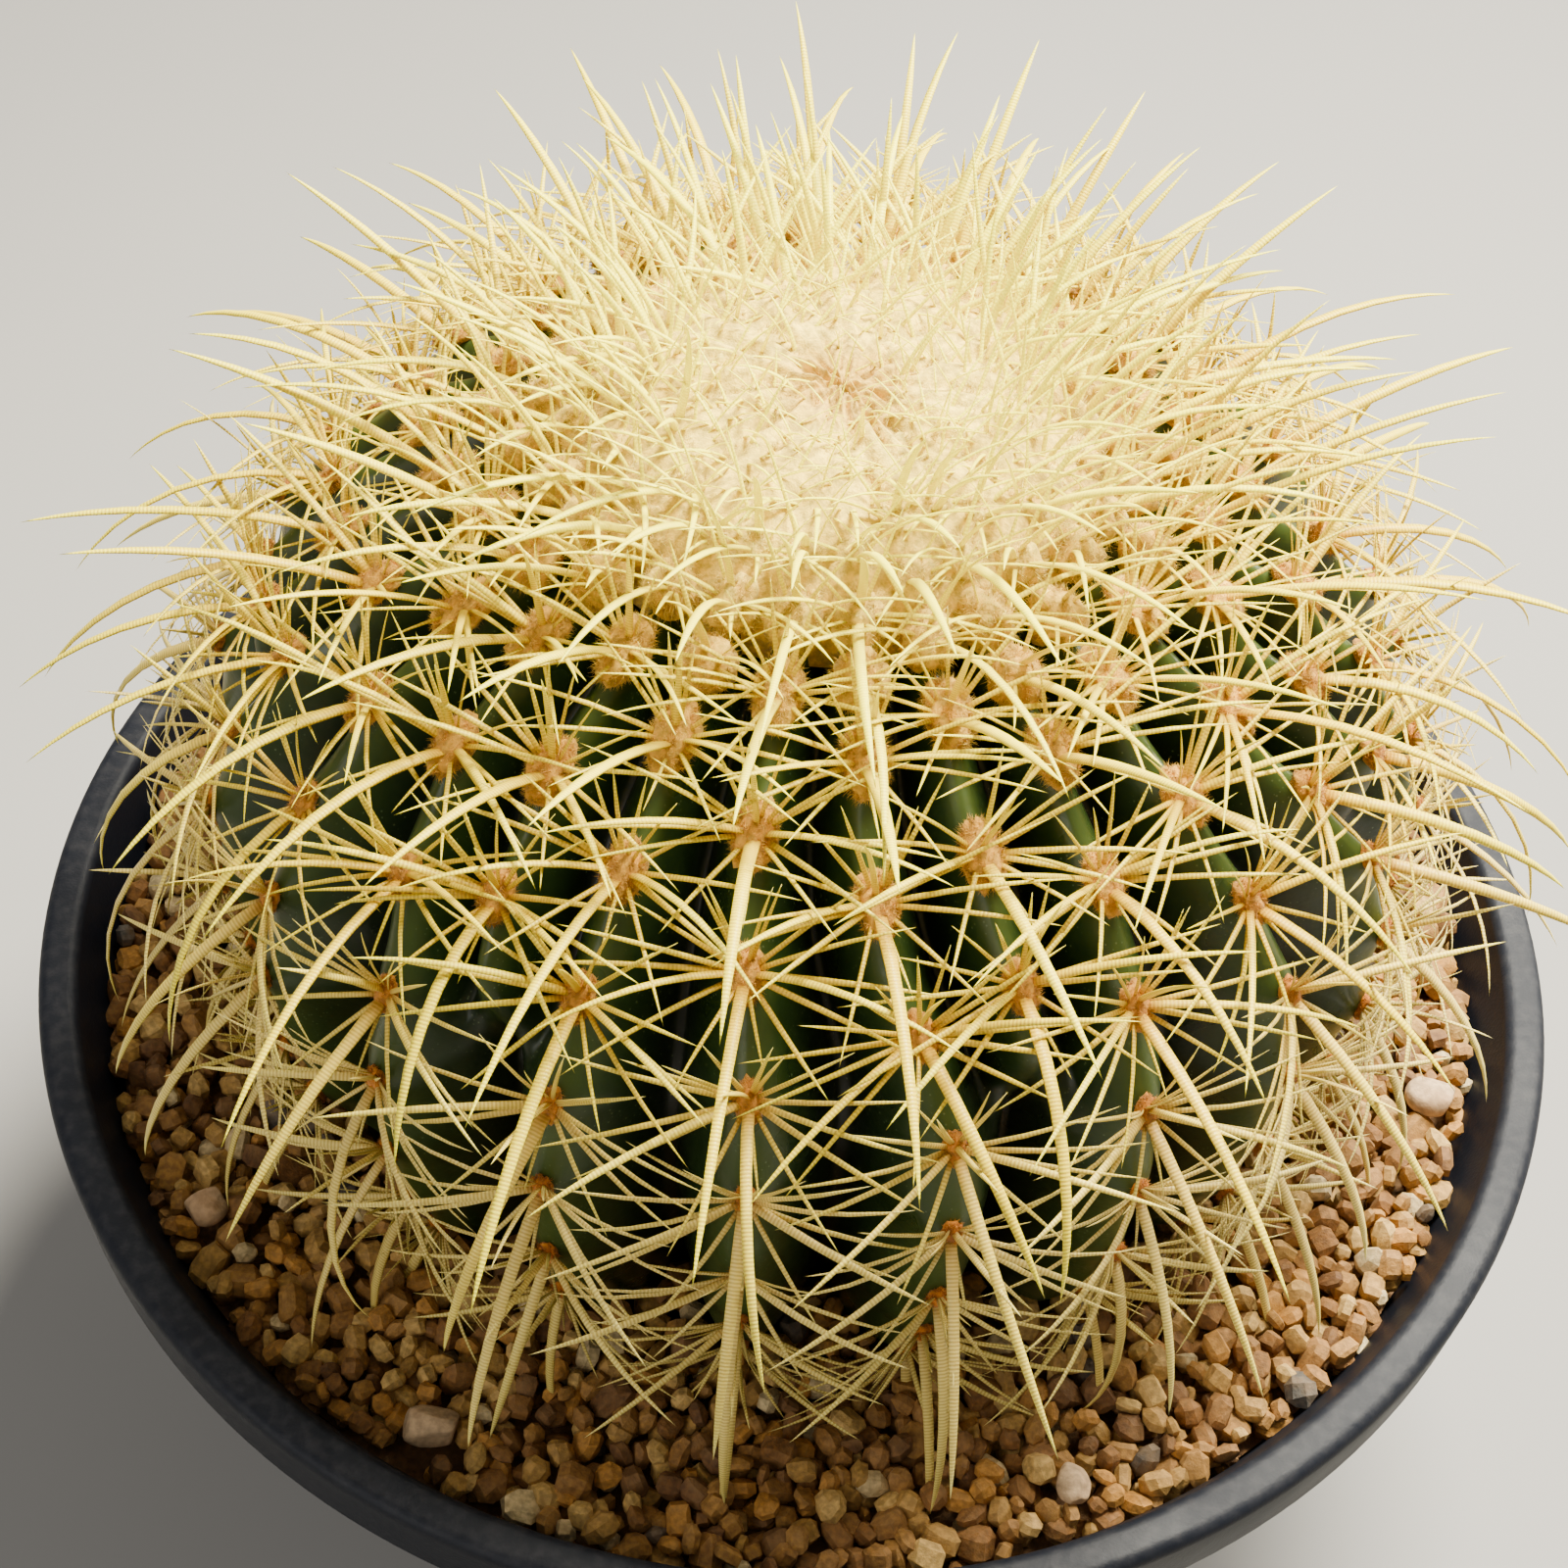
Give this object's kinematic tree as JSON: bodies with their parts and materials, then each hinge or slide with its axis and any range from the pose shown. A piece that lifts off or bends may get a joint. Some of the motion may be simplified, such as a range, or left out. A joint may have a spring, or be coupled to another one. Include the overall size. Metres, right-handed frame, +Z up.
{
  "type": "potted golden barrel cactus",
  "caption": "Round ribbed cactus with rows of long curved spines and a woolly crown, standing in a wide tapered plastic pot of grit.",
  "frame": {"origin": "middle of the pot's flat base, on the surface that it stands on", "axes": "+Z up through the pot and the plant's crown; -Y is the front; +X to the right of the front"},
  "size_m": [0.3, 0.3, 0.2779],
  "materials": {
    "pot_plastic": "matte moulded plastic, finely grained, blue-black, lightly dusty",
    "grit": "dry porous mineral grains, ochre, tan and brown",
    "pale_stone": "dry pale rounded stones",
    "stem_skin": "waxy plant skin, dark green, lighter on the crests, softly glossy",
    "wool": "dense cream and golden hair",
    "spines": "horny, finely cross-banded, amber at the root and cream at the tip"
  },
  "bodies": {
    "root": {"pot": "pot_plastic", "grit_bed": "grit", "cactus_body": "stem_skin", "crown_wool": "wool", "spine_row_01": "spines", "spine_row_02": "spines", "spine_row_03": "spines", "spine_row_04": "spines", "spine_row_05": "spines", "spine_row_06": "spines", "spine_row_07": "spines", "spine_row_08": "spines", "spine_row_09": "spines", "spine_row_10": "spines", "spine_row_11": "spines", "spine_row_12": "spines", "spine_row_13": "spines", "spine_row_14": "spines", "spine_row_15": "spines", "spine_row_16": "spines", "spine_row_17": "spines", "spine_row_18": "spines", "spine_row_19": "spines", "spine_row_20": "spines", "spine_row_21": "spines", "spine_row_22": "spines", "spine_row_23": "spines", "spine_row_24": "spines", "spine_row_25": "spines", "spine_row_26": "spines", "spine_row_27": "spines", "spine_row_28": "spines", "surface_stone_01": "pale_stone", "surface_stone_02": "pale_stone", "surface_stone_03": "pale_stone", "surface_stone_04": "pale_stone", "surface_stone_05": "pale_stone", "surface_stone_06": "pale_stone", "surface_stone_07": "pale_stone", "surface_stone_08": "pale_stone"}
  },
  "joints": []
}
